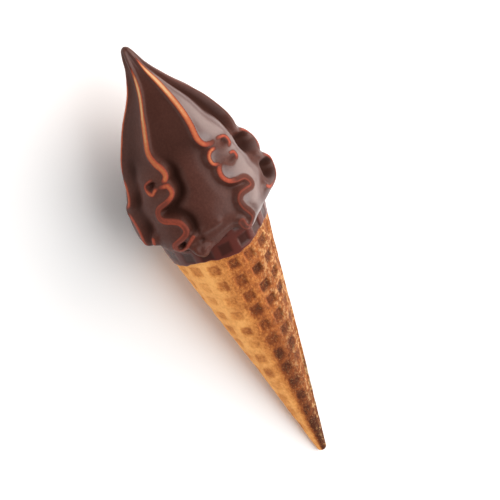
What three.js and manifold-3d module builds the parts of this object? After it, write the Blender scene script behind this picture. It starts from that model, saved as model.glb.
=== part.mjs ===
// A soft-serve ice cream cone dipped in dark chocolate, lying on its side.
// Lengths are in millimetres and angles in degrees. Each piece is shaped upright first: the
// cone's tip is at height 0, its axis runs up +Z, and angle 0 faces the viewer. Then the whole
// thing is laid down on its belly and its tip, with the viewer's side up.

import * as THREE from 'three';
import { mergeVertices } from 'three/addons/utils/BufferGeometryUtils.js';
import Module from 'manifold-3d';

const wasm = await Module();
wasm.setup();

// Wafer cone
const CONE_LENGTH = 120;
const RIM_RADIUS = 23.4;
const TIP_RADIUS = 1.9;
const CONE_COLUMNS = 21;
const TIP_ROWS = 5;
const SEAM_ANGLE = 98;
const SEAM_STEP = 1.1;

// Waffle pockets, a square grid on the flat sheet before it is rolled
const GRID_PITCH = 8.6;
const GRID_RIB = 2.7;
const GRID_ACROSS = 0.2;
const GRID_UP = 2.5;
const POCKET_DEPTH = 0.9;
const POCKET_TIP_DEPTH = 0.45;
const POCKET_FLOOR = 0.68;
const POCKET_START = 19;
const POCKET_MARGIN = 0.6;
const POCKET_BEND = 26;

// Dipped swirl
const PEAK_HEIGHT = 205.4;
const FIN_COUNT = 7;
const FIRST_FIN_ANGLE = -81;
const CREST_HALF_WIDTH = 1.2;
const RUFFLE_TOP = 168;
const RUFFLE_FULL = 154;
const PEAK_ROWS = 14;
const RUFFLE_ROWS = 32;
const BODY_ROWS = PEAK_ROWS + RUFFLE_ROWS;
const COLUMNS_PER_FIN = 8;
const PANEL_COLUMNS = 4;
const LIP_HEIGHT = 126.6;

// The thin chocolate collar that runs down over the cone, which is a little narrower under it
const COAT = 0.7;
const NECK = 0.6;
const DIP_HEIGHT = 116;
const GAP = 0.3;

// How it lies
const BELLY_HEIGHT = 133;
const REST_RADIUS = 29.2;
const TIP_FLAT = 0.15;
const UP_ANGLE = 22;
const FLOOR_SIZE = 400;

const FIN_STEP = 360 / FIN_COUNT;
const radians = THREE.MathUtils.degToRad;

// Outline of the fin crests from the peak down to the lip: height, radius
const CREST_OUTLINE = [
  [PEAK_HEIGHT, 0],
  [204.7, 1.5],
  [201, 3.1],
  [196, 4.7],
  [187, 9.6],
  [177, 17.3],
  [167, 23],
  [156, 27.2],
  [145, 31.2],
  [137, 32.9],
  [130.5, 31.6],
  [LIP_HEIGHT, 27.6],
];

// How far the middle of the swirl strays to the viewer's right: height, distance
const MIDDLE_LINE = [[PEAK_HEIGHT, -1.9], [201, -1.4], [194, -0.5], [186, 0.3], [172, 0.9],
  [150, 0.5], [LIP_HEIGHT, 0]];

// How far each fin sways to the viewer's right on its way down: height, sway.
// The first four show and follow the real ones. The last two lie under the swirl.
const SWAYS = [
  [[160, 0], [156, 3.7], [153, 6.1], [149.7, 5.2], [147, 1], [144, 3.7], [141, 8.6], [136, 11],
    [131, 11], [126, 8]],
  [[168, 0], [163.6, 2.2], [159.5, 4.2], [156, 1.6], [152.5, 5], [149.4, 1.2], [146, -3.1],
    [142.4, -1.4], [140.4, 4], [137.8, 6.1], [134.5, 3.2], [131, -1.2], [128, -1.8]],
  [[170, 0.4], [163.4, 1.6], [161.6, 7], [158.6, 12.8], [155.6, 10.8], [152.6, 12], [150.4, 7],
    [148.6, 1.4], [146, 5.4], [142.8, 10.8], [140.2, 8], [137.6, 2.4], [134.6, 2.2], [130.6, 5.4],
    [127, 4]],
  [[162, 0], [157.6, 1.2], [154, 7], [150.8, 9.4], [148, 4.6], [145.2, 3.6], [141, 9],
    [137, 10], [133, 5], [128, -2]],
  [[166, 0], [160, 4], [155, -1], [149, 6.5], [143, 0], [137, 7.5], [131, 1.5], [126, 3]],
  [[165, 0], [158, 3.5], [152, -2], [146, 4], [139, -3], [133, 3.5], [127, -1]],
  [[167, 0], [161, -3.5], [154, 3], [148, -3.5], [141, 3.5], [135, -4], [129, 1]],
];

// The short curled edges beside the ruffles: which fin they belong to, then height and sway
const CURLS = [
  { fin: 1, path: [[158.4, -2.6], [156.4, -5.8], [153.8, -5.4], [152.7, -3.4], [154, -1.6]] },
  { fin: 2, path: [[159.2, 2.8], [157.6, 0.6], [155.6, 0], [153.8, 1.2]] },
];
const CURL_WIDTH = 2.4;
const CURL_DEPTH = 4.4;
const CURL_STEPS = 10;

// The drips that hang from the lip over the collar: angle and half width in degrees, and drop
const DRIPS = [
  { angle: -17, width: 9, drop: 4.2 },
  { angle: 25, width: 11, drop: 1.6 },
  { angle: 140, width: 14, drop: 2.6 },
  { angle: 232, width: 12, drop: 3.2 },
];

const chocolate = new THREE.MeshStandardMaterial({ color: 0x4a2e26, roughness: 0.4, metalness: 0 });
const wafer = new THREE.MeshStandardMaterial({ color: 0xc98a4b, roughness: 0.85, metalness: 0 });

// A smooth curve through points sorted by falling first value, read at x
function smoothThrough(points, x) {
  if (x >= points[0][0]) {
    return points[0][1];
  }
  const last = points.length - 1;
  if (x <= points[last][0]) {
    return points[last][1];
  }
  let i = 0;
  while (points[i + 1][0] > x) {
    i += 1;
  }
  const slope = (a, b) => (b[1] - a[1]) / (b[0] - a[0]);
  const [start, end] = [points[i], points[i + 1]];
  const span = end[0] - start[0];
  const before = points[Math.max(i - 1, 0)];
  const after = points[Math.min(i + 2, last)];
  const leave = i === 0 ? slope(start, end) : slope(before, end);
  const arrive = i + 1 === last ? slope(start, end) : slope(start, after);
  const t = (x - start[0]) / span;
  const ease = t * t * (3 - 2 * t);
  const leaving = t * (1 - t) * (1 - t) * span * leave;
  const arriving = t * t * (t - 1) * span * arrive;
  return start[1] + (end[1] - start[1]) * ease + leaving + arriving;
}

function onAxis(radius, angle, height) {
  const turn = radians(angle);
  return new THREE.Vector3(radius * Math.cos(turn), radius * Math.sin(turn), height);
}

function toSolid(geometry) {
  geometry.deleteAttribute('normal');
  geometry.deleteAttribute('uv');
  const merged = mergeVertices(geometry, 1e-4);
  const mesh = new wasm.Mesh({
    numProp: 3,
    vertProperties: new Float32Array(merged.attributes.position.array),
    triVerts: new Uint32Array(merged.index.array),
  });
  return new wasm.Manifold(mesh);
}

function toGeometry(solid) {
  const mesh = solid.getMesh();
  const geometry = new THREE.BufferGeometry();
  geometry.setAttribute('position', new THREE.BufferAttribute(mesh.vertProperties, 3));
  geometry.setIndex(new THREE.BufferAttribute(mesh.triVerts, 1));
  geometry.computeVertexNormals();
  return geometry;
}

// A closed skin round the axis: place(column, row) gives each point, and the first and the
// last row are points on the axis
function closedSkin(columns, rows, place) {
  const skin = new THREE.SphereGeometry(1, columns, rows);
  const spots = skin.attributes.position;
  for (let row = 0; row <= rows; row += 1) {
    for (let column = 0; column <= columns; column += 1) {
      const point = place(column % columns, row);
      spots.setXYZ(row * (columns + 1) + column, point.x, point.y, point.z);
    }
  }
  return toSolid(skin);
}

// Cone, a sheet rolled into a spiral: its outer edge ends in a step along the seam
const CONE_SLOPE = (RIM_RADIUS - TIP_RADIUS) / CONE_LENGTH;
const HALF_ANGLE = Math.atan(CONE_SLOPE);
const APEX_HEIGHT = -TIP_RADIUS / CONE_SLOPE;

function sheetRadius(height) {
  return TIP_RADIUS + CONE_SLOPE * height;
}

function coneRadius(height, turned) {
  const fade = THREE.MathUtils.smoothstep(height, 0, CONE_LENGTH / 2);
  return sheetRadius(height) - SEAM_STEP * fade * (turned / 360);
}

// Where the chocolate ends on the cone
function dipEdge(angle) {
  return DIP_HEIGHT + Math.sin(radians(2 * angle - 50)) + 1.3 * Math.sin(radians(4 * angle - 152));
}

function coneBody() {
  const rows = TIP_ROWS + 5;
  const stepColumn = CONE_COLUMNS - 1;
  const place = (column, row) => {
    const turned = 360 * (column / stepColumn);
    if (row === 0) {
      return onAxis(0, 0, CONE_LENGTH);
    }
    if (row === rows) {
      return onAxis(0, 0, 0);
    }
    if (row <= 5) {
      const step = dipEdge(SEAM_ANGLE + turned) - GAP;
      const height = [CONE_LENGTH, step, step - NECK, CONE_LENGTH / 2, TIP_RADIUS][row - 1];
      const neck = row <= 2 ? NECK : 0;
      return onAxis(coneRadius(height, turned) - neck, SEAM_ANGLE + turned, height);
    }
    const roll = radians(90 * (row - 5) / TIP_ROWS);
    const radius = sheetRadius(TIP_RADIUS) * Math.cos(roll);
    return onAxis(radius, SEAM_ANGLE + turned, TIP_RADIUS * (1 - Math.sin(roll)));
  };
  return closedSkin(CONE_COLUMNS, rows, place);
}

// A point of the flat sheet, x across and y up from the apex, on the rolled cone
function onSheet(x, y, depth) {
  const slant = Math.hypot(x, y);
  const angle = THREE.MathUtils.radToDeg(Math.atan2(x, y) / Math.sin(HALF_ANGLE));
  const height = APEX_HEIGHT + slant * Math.cos(HALF_ANGLE);
  const turned = THREE.MathUtils.euclideanModulo(angle - SEAM_ANGLE, 360);
  return onAxis(coneRadius(height, turned) - depth, angle, height);
}

// Where a point of the sheet lies: its height on the cone and its distance from the seam
function sheetPlace(x, y) {
  const slant = Math.hypot(x, y);
  const angle = THREE.MathUtils.radToDeg(Math.atan2(x, y) / Math.sin(HALF_ANGLE));
  const height = APEX_HEIGHT + slant * Math.cos(HALF_ANGLE);
  const nearest = Math.min(SEAM_ANGLE - angle, angle - SEAM_ANGLE + 360);
  return { height, seamDistance: radians(nearest) * sheetRadius(height) };
}

function pocket(x, y, depth) {
  const size = GRID_PITCH - GRID_RIB;
  const width = THREE.MathUtils.radToDeg(GRID_PITCH / sheetRadius(sheetPlace(x, y).height));
  const bends = Math.ceil(width / POCKET_BEND);
  const box = new THREE.BoxGeometry(1, 1, 1, bends, bends, 1);
  const spots = box.attributes.position;
  for (let i = 0; i < spots.count; i += 1) {
    const outside = spots.getZ(i) > 0;
    const spread = size * (outside ? 1 + (1 - POCKET_FLOOR) : POCKET_FLOOR);
    const level = outside ? -depth : depth;
    const point = onSheet(x + spots.getX(i) * spread, y + spots.getY(i) * spread, level);
    spots.setXYZ(i, point.x, point.y, point.z);
  }
  return toSolid(box);
}

function waferCone() {
  let cone = coneBody();
  const reach = Math.ceil((CONE_LENGTH - APEX_HEIGHT) / GRID_PITCH);
  const half = (GRID_PITCH - GRID_RIB) / 2;
  const corners = [[half, half], [half, -half], [-half, half], [-half, -half]];
  for (let across = -reach; across <= reach; across += 1) {
    for (let up = 0; up <= reach; up += 1) {
      const x = across * GRID_PITCH + GRID_ACROSS;
      const y = up * GRID_PITCH + GRID_UP;
      const places = corners.map(([dx, dy]) => sheetPlace(x + dx, y + dy));
      const lowest = Math.min(...places.map((place) => place.height));
      const highest = Math.max(...places.map((place) => place.height));
      const clear = Math.min(...places.map((place) => place.seamDistance));
      if (lowest > POCKET_START && highest < DIP_HEIGHT - 2 && clear > POCKET_MARGIN) {
        const fade = THREE.MathUtils.smoothstep(lowest, POCKET_START, CONE_LENGTH / 2);
        const depth = THREE.MathUtils.lerp(POCKET_TIP_DEPTH, POCKET_DEPTH, fade);
        cone = cone.subtract(pocket(x, y, depth));
      }
    }
  }
  return cone;
}

// Swirl: seven fins from a star nozzle, straight and sharp near the peak and ruffled below
function crestRadius(height) {
  return smoothThrough(CREST_OUTLINE, height);
}

function ruffled(height) {
  return 1 - THREE.MathUtils.smoothstep(height, RUFFLE_FULL, RUFFLE_TOP);
}

function crestAngle(fin, height) {
  const sway = smoothThrough(SWAYS[fin], height);
  const radius = Math.max(crestRadius(height), 1);
  return FIRST_FIN_ANGLE + fin * FIN_STEP + THREE.MathUtils.radToDeg(sway / radius);
}

// One level of the swirl: half the width of a crest and of its foot in degrees, and the
// radius at the foot of a fin and in the middle of a panel
function levelOf(height) {
  const crest = crestRadius(height);
  const wild = ruffled(height);
  const room = FIN_STEP / 8;
  const degrees = (width) => THREE.MathUtils.radToDeg(width / Math.max(crest, 0.5));
  const stands = THREE.MathUtils.lerp(Math.min(0.9, crest * 0.06), 4.3, wild);
  return {
    crest,
    band: Math.min(degrees(CREST_HALF_WIDTH), room),
    foot: Math.min(degrees(THREE.MathUtils.lerp(0.9, 2.1, wild)), room),
    footRadius: crest - stands,
    middleRadius: crest * THREE.MathUtils.lerp(0.9, 0.925, wild),
  };
}

function bodyPoint(column, height) {
  const fin = Math.floor(column / COLUMNS_PER_FIN);
  const station = column % COLUMNS_PER_FIN;
  const level = levelOf(height);
  const here = crestAngle(fin, height);
  const next = fin + 1 < FIN_COUNT ? crestAngle(fin + 1, height) : crestAngle(0, height) + 360;
  if (station < 2) {
    return { angle: here + (station === 0 ? -level.band : level.band), radius: level.crest };
  }
  const from = here + level.band + level.foot;
  const to = next - level.band - level.foot;
  const across = (station - 2) / (PANEL_COLUMNS + 1);
  const rise = Math.sin(Math.PI * across) ** 1.5;
  const radius = THREE.MathUtils.lerp(level.footRadius, level.middleRadius, rise);
  return { angle: THREE.MathUtils.lerp(from, to, across), radius };
}

// How far the lip hangs down at an angle: a slow wave and the drips
function lipDrop(angle) {
  const wave = 0.9 * (Math.cos(radians(2 * angle)) - 1) + 0.4 * Math.sin(radians(4 * angle + 40));
  const drips = DRIPS.map((drip) => {
    const off = THREE.MathUtils.euclideanModulo(angle - drip.angle + 180, 360) - 180;
    return drip.drop * Math.exp(-((off / drip.width) ** 2));
  });
  return wave + drips.reduce((sum, drop) => sum + drop, 0);
}

// The rows are close at the peak, wider down the straight fins and even over the ruffles
function rowHeight(row) {
  if (row <= PEAK_ROWS) {
    return PEAK_HEIGHT - (PEAK_HEIGHT - RUFFLE_TOP) * (row / PEAK_ROWS) ** 1.6;
  }
  return THREE.MathUtils.lerp(RUFFLE_TOP, LIP_HEIGHT, (row - PEAK_ROWS) / RUFFLE_ROWS);
}

function dippedSwirl() {
  const columns = FIN_COUNT * COLUMNS_PER_FIN;
  const rows = BODY_ROWS + 7;
  const place = (column, row) => {
    if (row === 0) {
      return new THREE.Vector3(0, MIDDLE_LINE[0][1], PEAK_HEIGHT);
    }
    if (row === rows) {
      return onAxis(0, 0, CONE_LENGTH + GAP);
    }
    const height = rowHeight(Math.min(row, BODY_ROWS));
    const { angle, radius } = bodyPoint(column, height);
    const drop = lipDrop(angle);
    if (row <= BODY_ROWS) {
      const low = 1 - THREE.MathUtils.smoothstep(height, LIP_HEIGHT, BELLY_HEIGHT);
      const point = onAxis(radius, angle, height - drop * low);
      point.y += smoothThrough(MIDDLE_LINE, height);
      return point;
    }
    const lip = LIP_HEIGHT - drop;
    const dip = dipEdge(angle);
    const collar = (level, depth) => onAxis(sheetRadius(level) - NECK + GAP + depth, angle, level);
    const under = lip - 0.6;
    return [
      collar(under, COAT),
      collar((under + dip) / 2, COAT),
      collar(dip + 0.5, COAT),
      collar(dip, COAT / 2),
      collar(dip + 0.1, 0),
      collar(CONE_LENGTH + GAP, 0),
    ][row - BODY_ROWS - 1];
  };
  let swirl = closedSkin(columns, rows, place);
  for (const curl of CURLS) {
    swirl = swirl.add(curledEdge(curl));
  }
  return swirl;
}

// A short ridge that stands on the skin along a curled path
function curledEdge({ fin, path }) {
  const curve = new THREE.SplineCurve(path.map(([h, sway]) => new THREE.Vector2(sway, h)));
  const ridge = new THREE.CylinderGeometry(1, 1, 1, 10, CURL_STEPS);
  const spots = ridge.attributes.position;
  for (let i = 0; i < spots.count; i += 1) {
    const t = THREE.MathUtils.clamp(spots.getY(i) + 0.5, 0, 1);
    const middle = curve.getPoint(t);
    const tangent = curve.getTangent(t);
    const aside = spots.getX(i) * CURL_WIDTH / 2;
    const sway = middle.x + tangent.y * aside;
    const height = middle.y - tangent.x * aside;
    const crest = crestRadius(height);
    const angle = FIRST_FIN_ANGLE + fin * FIN_STEP + THREE.MathUtils.radToDeg(sway / crest);
    const point = onAxis(crest + (spots.getZ(i) - 1) * CURL_DEPTH / 2, angle, height);
    point.y += smoothThrough(MIDDLE_LINE, height);
    spots.setXYZ(i, point.x, point.y, point.z);
  }
  return toSolid(ridge);
}

// Laying it down: the belly and the tip touch the floor
const SLOPE = Math.asin((REST_RADIUS - TIP_RADIUS) / (BELLY_HEIGHT - TIP_RADIUS));

function lyingMatrix() {
  const turn = radians(UP_ANGLE);
  const along = new THREE.Vector3(Math.cos(SLOPE), 0, Math.sin(SLOPE));
  const up = new THREE.Vector3(-Math.sin(SLOPE), 0, Math.cos(SLOPE));
  const side = new THREE.Vector3(0, -1, 0);
  const facing = up.clone().multiplyScalar(Math.cos(turn)).addScaledVector(side, -Math.sin(turn));
  const right = up.clone().multiplyScalar(Math.sin(turn)).addScaledVector(side, Math.cos(turn));
  return new THREE.Matrix4().makeBasis(facing, right, along);
}

function layDown(solid) {
  const geometry = toGeometry(solid);
  geometry.applyMatrix4(lyingMatrix());
  const floorLevel = (TIP_RADIUS * Math.sin(SLOPE)) - TIP_RADIUS + TIP_FLAT;
  const floor = new THREE.BoxGeometry(FLOOR_SIZE, FLOOR_SIZE, FLOOR_SIZE);
  floor.translate(FLOOR_SIZE / 4, 0, floorLevel - FLOOR_SIZE / 2);
  const cut = toSolid(geometry).subtract(toSolid(floor));
  return toGeometry(cut).translate(0, 0, -floorLevel);
}

const pieces = [
  { name: 'wafer_cone', geometry: layDown(waferCone()), material: wafer },
  { name: 'dipped_swirl', geometry: layDown(dippedSwirl()), material: chocolate },
];

const cone = new THREE.Group();
cone.name = 'ice_cream_cone';
for (const { name, geometry, material } of pieces) {
  const mesh = new THREE.Mesh(geometry, material);
  mesh.name = name;
  cone.add(mesh);
}

// The origin is the middle of the bottom of the whole
const box = new THREE.Box3().setFromObject(cone);
const middle = box.getCenter(new THREE.Vector3());
for (const mesh of cone.children) {
  mesh.position.set(-middle.x, -middle.y, 0);
}

export default cone;
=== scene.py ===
"""The looks of a soft-serve cone dipped in dark chocolate, lying on its belly.

Shapes are worked out in millimetres on the upright cone, as in the part's source: the tip is at
height 0, the axis runs up +Z, and angle 0 degrees faces the viewer with positive angles to the
viewer's right. lay_down() then puts them in the frame, in metres.
"""
import math

import bmesh
import bpy
import numpy as np
from mathutils import Matrix, Vector, noise


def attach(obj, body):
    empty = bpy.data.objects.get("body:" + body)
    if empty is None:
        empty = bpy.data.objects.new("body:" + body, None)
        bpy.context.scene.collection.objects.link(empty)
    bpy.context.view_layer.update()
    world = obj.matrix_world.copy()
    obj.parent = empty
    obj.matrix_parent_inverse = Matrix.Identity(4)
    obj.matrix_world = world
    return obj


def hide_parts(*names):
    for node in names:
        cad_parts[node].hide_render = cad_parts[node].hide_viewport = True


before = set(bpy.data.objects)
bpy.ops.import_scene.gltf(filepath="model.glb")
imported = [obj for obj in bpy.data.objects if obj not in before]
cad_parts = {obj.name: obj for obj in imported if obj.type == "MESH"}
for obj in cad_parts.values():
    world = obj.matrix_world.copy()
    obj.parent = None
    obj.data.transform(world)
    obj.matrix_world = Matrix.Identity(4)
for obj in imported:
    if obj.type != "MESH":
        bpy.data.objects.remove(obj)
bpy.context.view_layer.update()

MM = 0.001

# Wafer cone. The sheet's outer edge lies at SEAM_ANGLE, and slants by SEAM_SLANT degrees
# towards the tip.
CONE_LENGTH = 120
RIM_RADIUS = 23.4
TIP_RADIUS = 1.9
SEAM_ANGLE = 98
SEAM_STEP = 1.1
SEAM_SLANT = 28
CONE_SLOPE = (RIM_RADIUS - TIP_RADIUS) / CONE_LENGTH
HALF_ANGLE = math.atan(CONE_SLOPE)
APEX_HEIGHT = -TIP_RADIUS / CONE_SLOPE

# Waffle grid on the flat sheet
GRID_PITCH = 8.6
GRID_ACROSS = 0.2
GRID_UP = 2.5
GRID_STRAY = 1.5
POCKET_HALF = 2.95
POCKET_CORNER = 0.9
POCKET_WALL = 1.25
POCKET_DEPTH = 0.95
POCKET_SHIFT = 0.35
POCKET_SPREAD = 0.3

# What share of its depth a pocket keeps on the viewer's left, at the back and near the tip
LEFT_DEPTH = 0.5
BACK_DEPTH = 0.9
TIP_DEPTH = 0.22

# Swirl
PEAK_HEIGHT = 205.4
RUFFLE_TOP = 168
RUFFLE_FULL = 155
BELLY_HEIGHT = 133
LIP_HEIGHT = 126.6
FIN_COUNT = 7
FIRST_FIN_ANGLE = -81
FIN_STEP = 360 / FIN_COUNT

# Collar of thin chocolate over the top of the wafer, which fills its pockets in part
DIP_HEIGHT = 116
DIP_RAGGED = 0.25
COAT = 0.4
COAT_POCKETS = 0.45
NECK = 0.6
GAP = 0.3

# How it lies
REST_RADIUS = 29.2
TIP_FLAT = 0.15
UP_ANGLE = 22
SLOPE = math.asin((REST_RADIUS - TIP_RADIUS) / (BELLY_HEIGHT - TIP_RADIUS))
TIP_PLACE = Vector((-100.4963, -0.4552, TIP_RADIUS - TIP_FLAT - TIP_RADIUS * math.sin(SLOPE)))

# Outline of the fin crests, height and radius, from the lip up to the peak
CREST_OUTLINE = [(126.6, 27.6), (130.5, 31.6), (137, 32.9), (145, 31.2), (156, 27.2), (167, 23),
                 (177, 17.3), (187, 9.6), (196, 4.7), (201, 3.1), (204.7, 1.5), (205.4, 0)]

# How far the middle of the swirl strays to the viewer's right at a height
MIDDLE_LINE = [(126.6, 0), (150, 0.5), (172, 0.9), (186, 0.3), (194, -0.5), (201, -1.4),
               (205.4, -1.9)]


def lerp(a, b, t):
    return a + (b - a) * t


def smoothstep(x, low, high):
    t = np.clip((x - low) / (high - low), 0, 1)
    return t * t * (3 - 2 * t)


def smooth_through(points, x):
    """A smooth curve through points sorted by rising first value, read at the array x."""
    places, values = np.array(points, float).T
    slopes = np.gradient(values, places, edge_order=1)
    slopes[1:-1] = (values[2:] - values[:-2]) / (places[2:] - places[:-2])
    x = np.clip(x, places[0], places[-1])
    i = np.clip(np.searchsorted(places, x, side="right") - 1, 0, len(places) - 2)
    span = places[i + 1] - places[i]
    t = (x - places[i]) / span
    ease = t * t * (3 - 2 * t)
    leaving = t * (1 - t) ** 2 * span * slopes[i]
    arriving = t * t * (t - 1) * span * slopes[i + 1]
    return values[i] + (values[i + 1] - values[i]) * ease + leaving + arriving


def turn_between(angle, other):
    """The short way round from other to angle, in degrees."""
    return (angle - other + 180) % 360 - 180


def ripple(points, size, seed):
    """Soft noise from about -1 to 1 with bumps of that size, at points in millimetres."""
    shift = Vector((seed * 17.3, seed * 5.1, seed * 11.7))
    return np.array([noise.noise(Vector(p) / size + shift) for p in points])


def lying_axes():
    """The upright cone's facing, right and along directions once it lies down."""
    along = Vector((math.cos(SLOPE), 0, math.sin(SLOPE)))
    up = Vector((-math.sin(SLOPE), 0, math.cos(SLOPE)))
    side = Vector((0, -1, 0))
    turn = math.radians(UP_ANGLE)
    facing = up * math.cos(turn) - side * math.sin(turn)
    right = up * math.sin(turn) + side * math.cos(turn)
    return facing, right, along


def lay_down(points):
    """Upright millimetres to lying metres. What would sink into the floor is pressed flat."""
    axes = np.array(lying_axes())
    placed = (points @ axes + np.array(TIP_PLACE)) * MM
    placed[:, 2] = np.maximum(placed[:, 2], 0)
    return placed


def on_axis(radius, angle, height):
    turn = np.radians(angle)
    return np.stack([radius * np.cos(turn), radius * np.sin(turn), height], axis=1)


# The wafer's surface

def sheet_radius(height):
    return TIP_RADIUS + CONE_SLOPE * height


def seam_angle(height):
    """Where the sheet's outer edge lies: it slants towards the viewer near the tip."""
    return SEAM_ANGLE - SEAM_SLANT * (1 - smoothstep(height, 25, 85))


def wafer_radius(height, angle):
    """The rolled sheet without its pockets: it winds in by SEAM_STEP over one turn."""
    turned = (angle - seam_angle(height)) % 360
    return sheet_radius(height) - SEAM_STEP * smoothstep(height, 0, CONE_LENGTH / 2) * turned / 360


def cell_draws():
    """Seeded uneven values for each waffle cell, by row and column of the sheet."""
    draw = np.random.default_rng(11)
    return draw.uniform(-1, 1, (6, 64, 64))


CELL_DRAWS = cell_draws()


def waffle(height, angle):
    """How deep the pockets are here in millimetres, how much this is pocket floor (0 to 1)
    and how toasted the cell is (-1 to 1)."""
    slant = (height - APEX_HEIGHT) / math.cos(HALF_ANGLE)
    bend = np.radians(turn_between(angle, SEAM_ANGLE - 180)) + math.radians(SEAM_ANGLE - 180)
    bend = bend * math.sin(HALF_ANGLE)
    strays = GRID_ACROSS + GRID_STRAY * (1 - smoothstep(height, 30, 95))
    across = (slant * np.sin(bend) - strays) / GRID_PITCH
    up = (slant * np.cos(bend) - GRID_UP) / GRID_PITCH
    file = np.round(across).astype(int)
    row = np.round(up).astype(int)
    wide, tall, right, rise, deep, toast = CELL_DRAWS[:, row % 64, file % 64]
    off_x = np.abs((across - file) * GRID_PITCH - POCKET_SHIFT * right)
    off_x = off_x - (POCKET_HALF + POCKET_SPREAD * wide)
    off_y = np.abs((up - row) * GRID_PITCH - POCKET_SHIFT * rise)
    off_y = off_y - (POCKET_HALF + POCKET_SPREAD * tall)
    past_x = np.maximum(off_x + POCKET_CORNER, 0)
    past_y = np.maximum(off_y + POCKET_CORNER, 0)
    outside = np.hypot(past_x, past_y) - POCKET_CORNER
    inside = np.minimum(np.maximum(off_x, off_y), 0)
    edge = np.where(outside > -POCKET_CORNER, outside, inside)
    floor = 1 - smoothstep(edge, -POCKET_WALL, 0.25)
    crisp = lerp(LEFT_DEPTH, 1, smoothstep(turn_between(angle, 0), -30, 25))
    crisp = np.where(np.abs(turn_between(angle, 180)) < 90, BACK_DEPTH, crisp)
    fade = lerp(TIP_DEPTH, 1, smoothstep(height, 42, 100))
    depth = POCKET_DEPTH * (1 + POCKET_SPREAD * deep) * crisp * fade
    seam_away = np.radians(np.abs(turn_between(angle, seam_angle(height)))) * sheet_radius(height)
    clear = smoothstep(seam_away, 0.5, 1.6) * smoothstep(height, 7, 16)
    return floor * depth * clear, floor * clear, toast


def dip_edge(angle):
    """Where the chocolate ends on the wafer."""
    wave = np.sin(np.radians(2 * angle - 50)) + 1.3 * np.sin(np.radians(4 * angle - 152))
    ragged = DIP_RAGGED * np.sin(np.radians(23 * angle)) * np.sin(np.radians(5 * angle))
    return DIP_HEIGHT + wave + ragged


# The swirl's surface. Each fin's crest is a ribbon that runs straight down from the peak and
# then folds from side to side, and short curls of the same kind lie at the lip. A stretch of
# it says how far it stands out (0 to 1), half its width in millimetres, how thin the chocolate
# is along its middle and its edges (0 to 1), and where it runs: height and angle.

RIBBON_A = [
    (1, 0.3, 0, 0, [(205.4, -81), (197, -81)]),
    (1, 0.75, 0.62, 0.62, [(190, -79), (180, -78.5), (170, -79), (163, -80)]),
    (0.8, 0.5, 0.1, 0.1, [(158.6, -77.5)]),
    (1, 0.8, 0.62, 0.5, [(156.3, -72.6), (152.9, -68.8), (149.4, -69.4)]),
    (0.8, 0.6, 0.1, 0.1, [(147, -76), (145.4, -75)]),
    (1, 0.8, 0.5, 0.45, [(143.9, -68), (140.6, -62), (137.4, -60), (134, -61)]),
    (0.8, 0.8, 0.2, 0.3, [(130.5, -62)]),
]
RIBBON_B = [
    (1, 0.3, 0, 0, [(205.4, -28), (198, -28.5)]),
    (1, 0.3, 0.5, 0.45, [(195.9, -28.6)]),
    (1, 0.5, 0.95, 0.6, [(193, -27.5)]),
    (1, 0.75, 1, 0.5, [(189.6, -28), (185.6, -29.5), (181.1, -30.8)]),
    (1, 0.95, 0.85, 0.55, [(176.8, -31.3), (172.7, -32)]),
    (1, 1.05, 0.7, 0.55, [(167.7, -32.1), (163.8, -27.6), (161.2, -23)]),
    (1, 0.9, 0.72, 0.6, [(158.8, -21.2), (157.3, -22.9)]),
    (0.85, 0.5, 0, 0, [(157.1, -27.1), (158.4, -32.3)]),
    (0.95, 0.35, 0.42, 0.35, [(158.2, -37.2), (157.1, -42.7), (155.9, -44.1)]),
    (1, 0.6, 0.62, 0.5, [(153.6, -41.3), (152.8, -37.3), (154.1, -33.8)]),
    (0.85, 0.5, 0.12, 0.12, [(154.7, -30.2)]),
    (1, 0.8, 0.62, 0.5, [(154.8, -24.7), (154.5, -22), (152.3, -20.1), (150.7, -21.8)]),
    (1, 0.9, 0.28, 0.42, [(149.3, -26.7), (147.7, -34.5), (145.7, -36.7), (143.6, -35.9)]),
    (1, 0.95, 0.36, 0.46, [(142.3, -32.8), (141.2, -25.6), (139.9, -21.5)]),
    (1, 1.0, 0.26, 0.44, [(137, -19.6), (135, -21.7), (132.7, -29.4)]),
    (1, 0.9, 0.3, 0.42, [(131.6, -33.1), (129, -35)]),
    (1, 0.9, 0.3, 0.42, [(127.2, -33)]),
]
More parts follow.
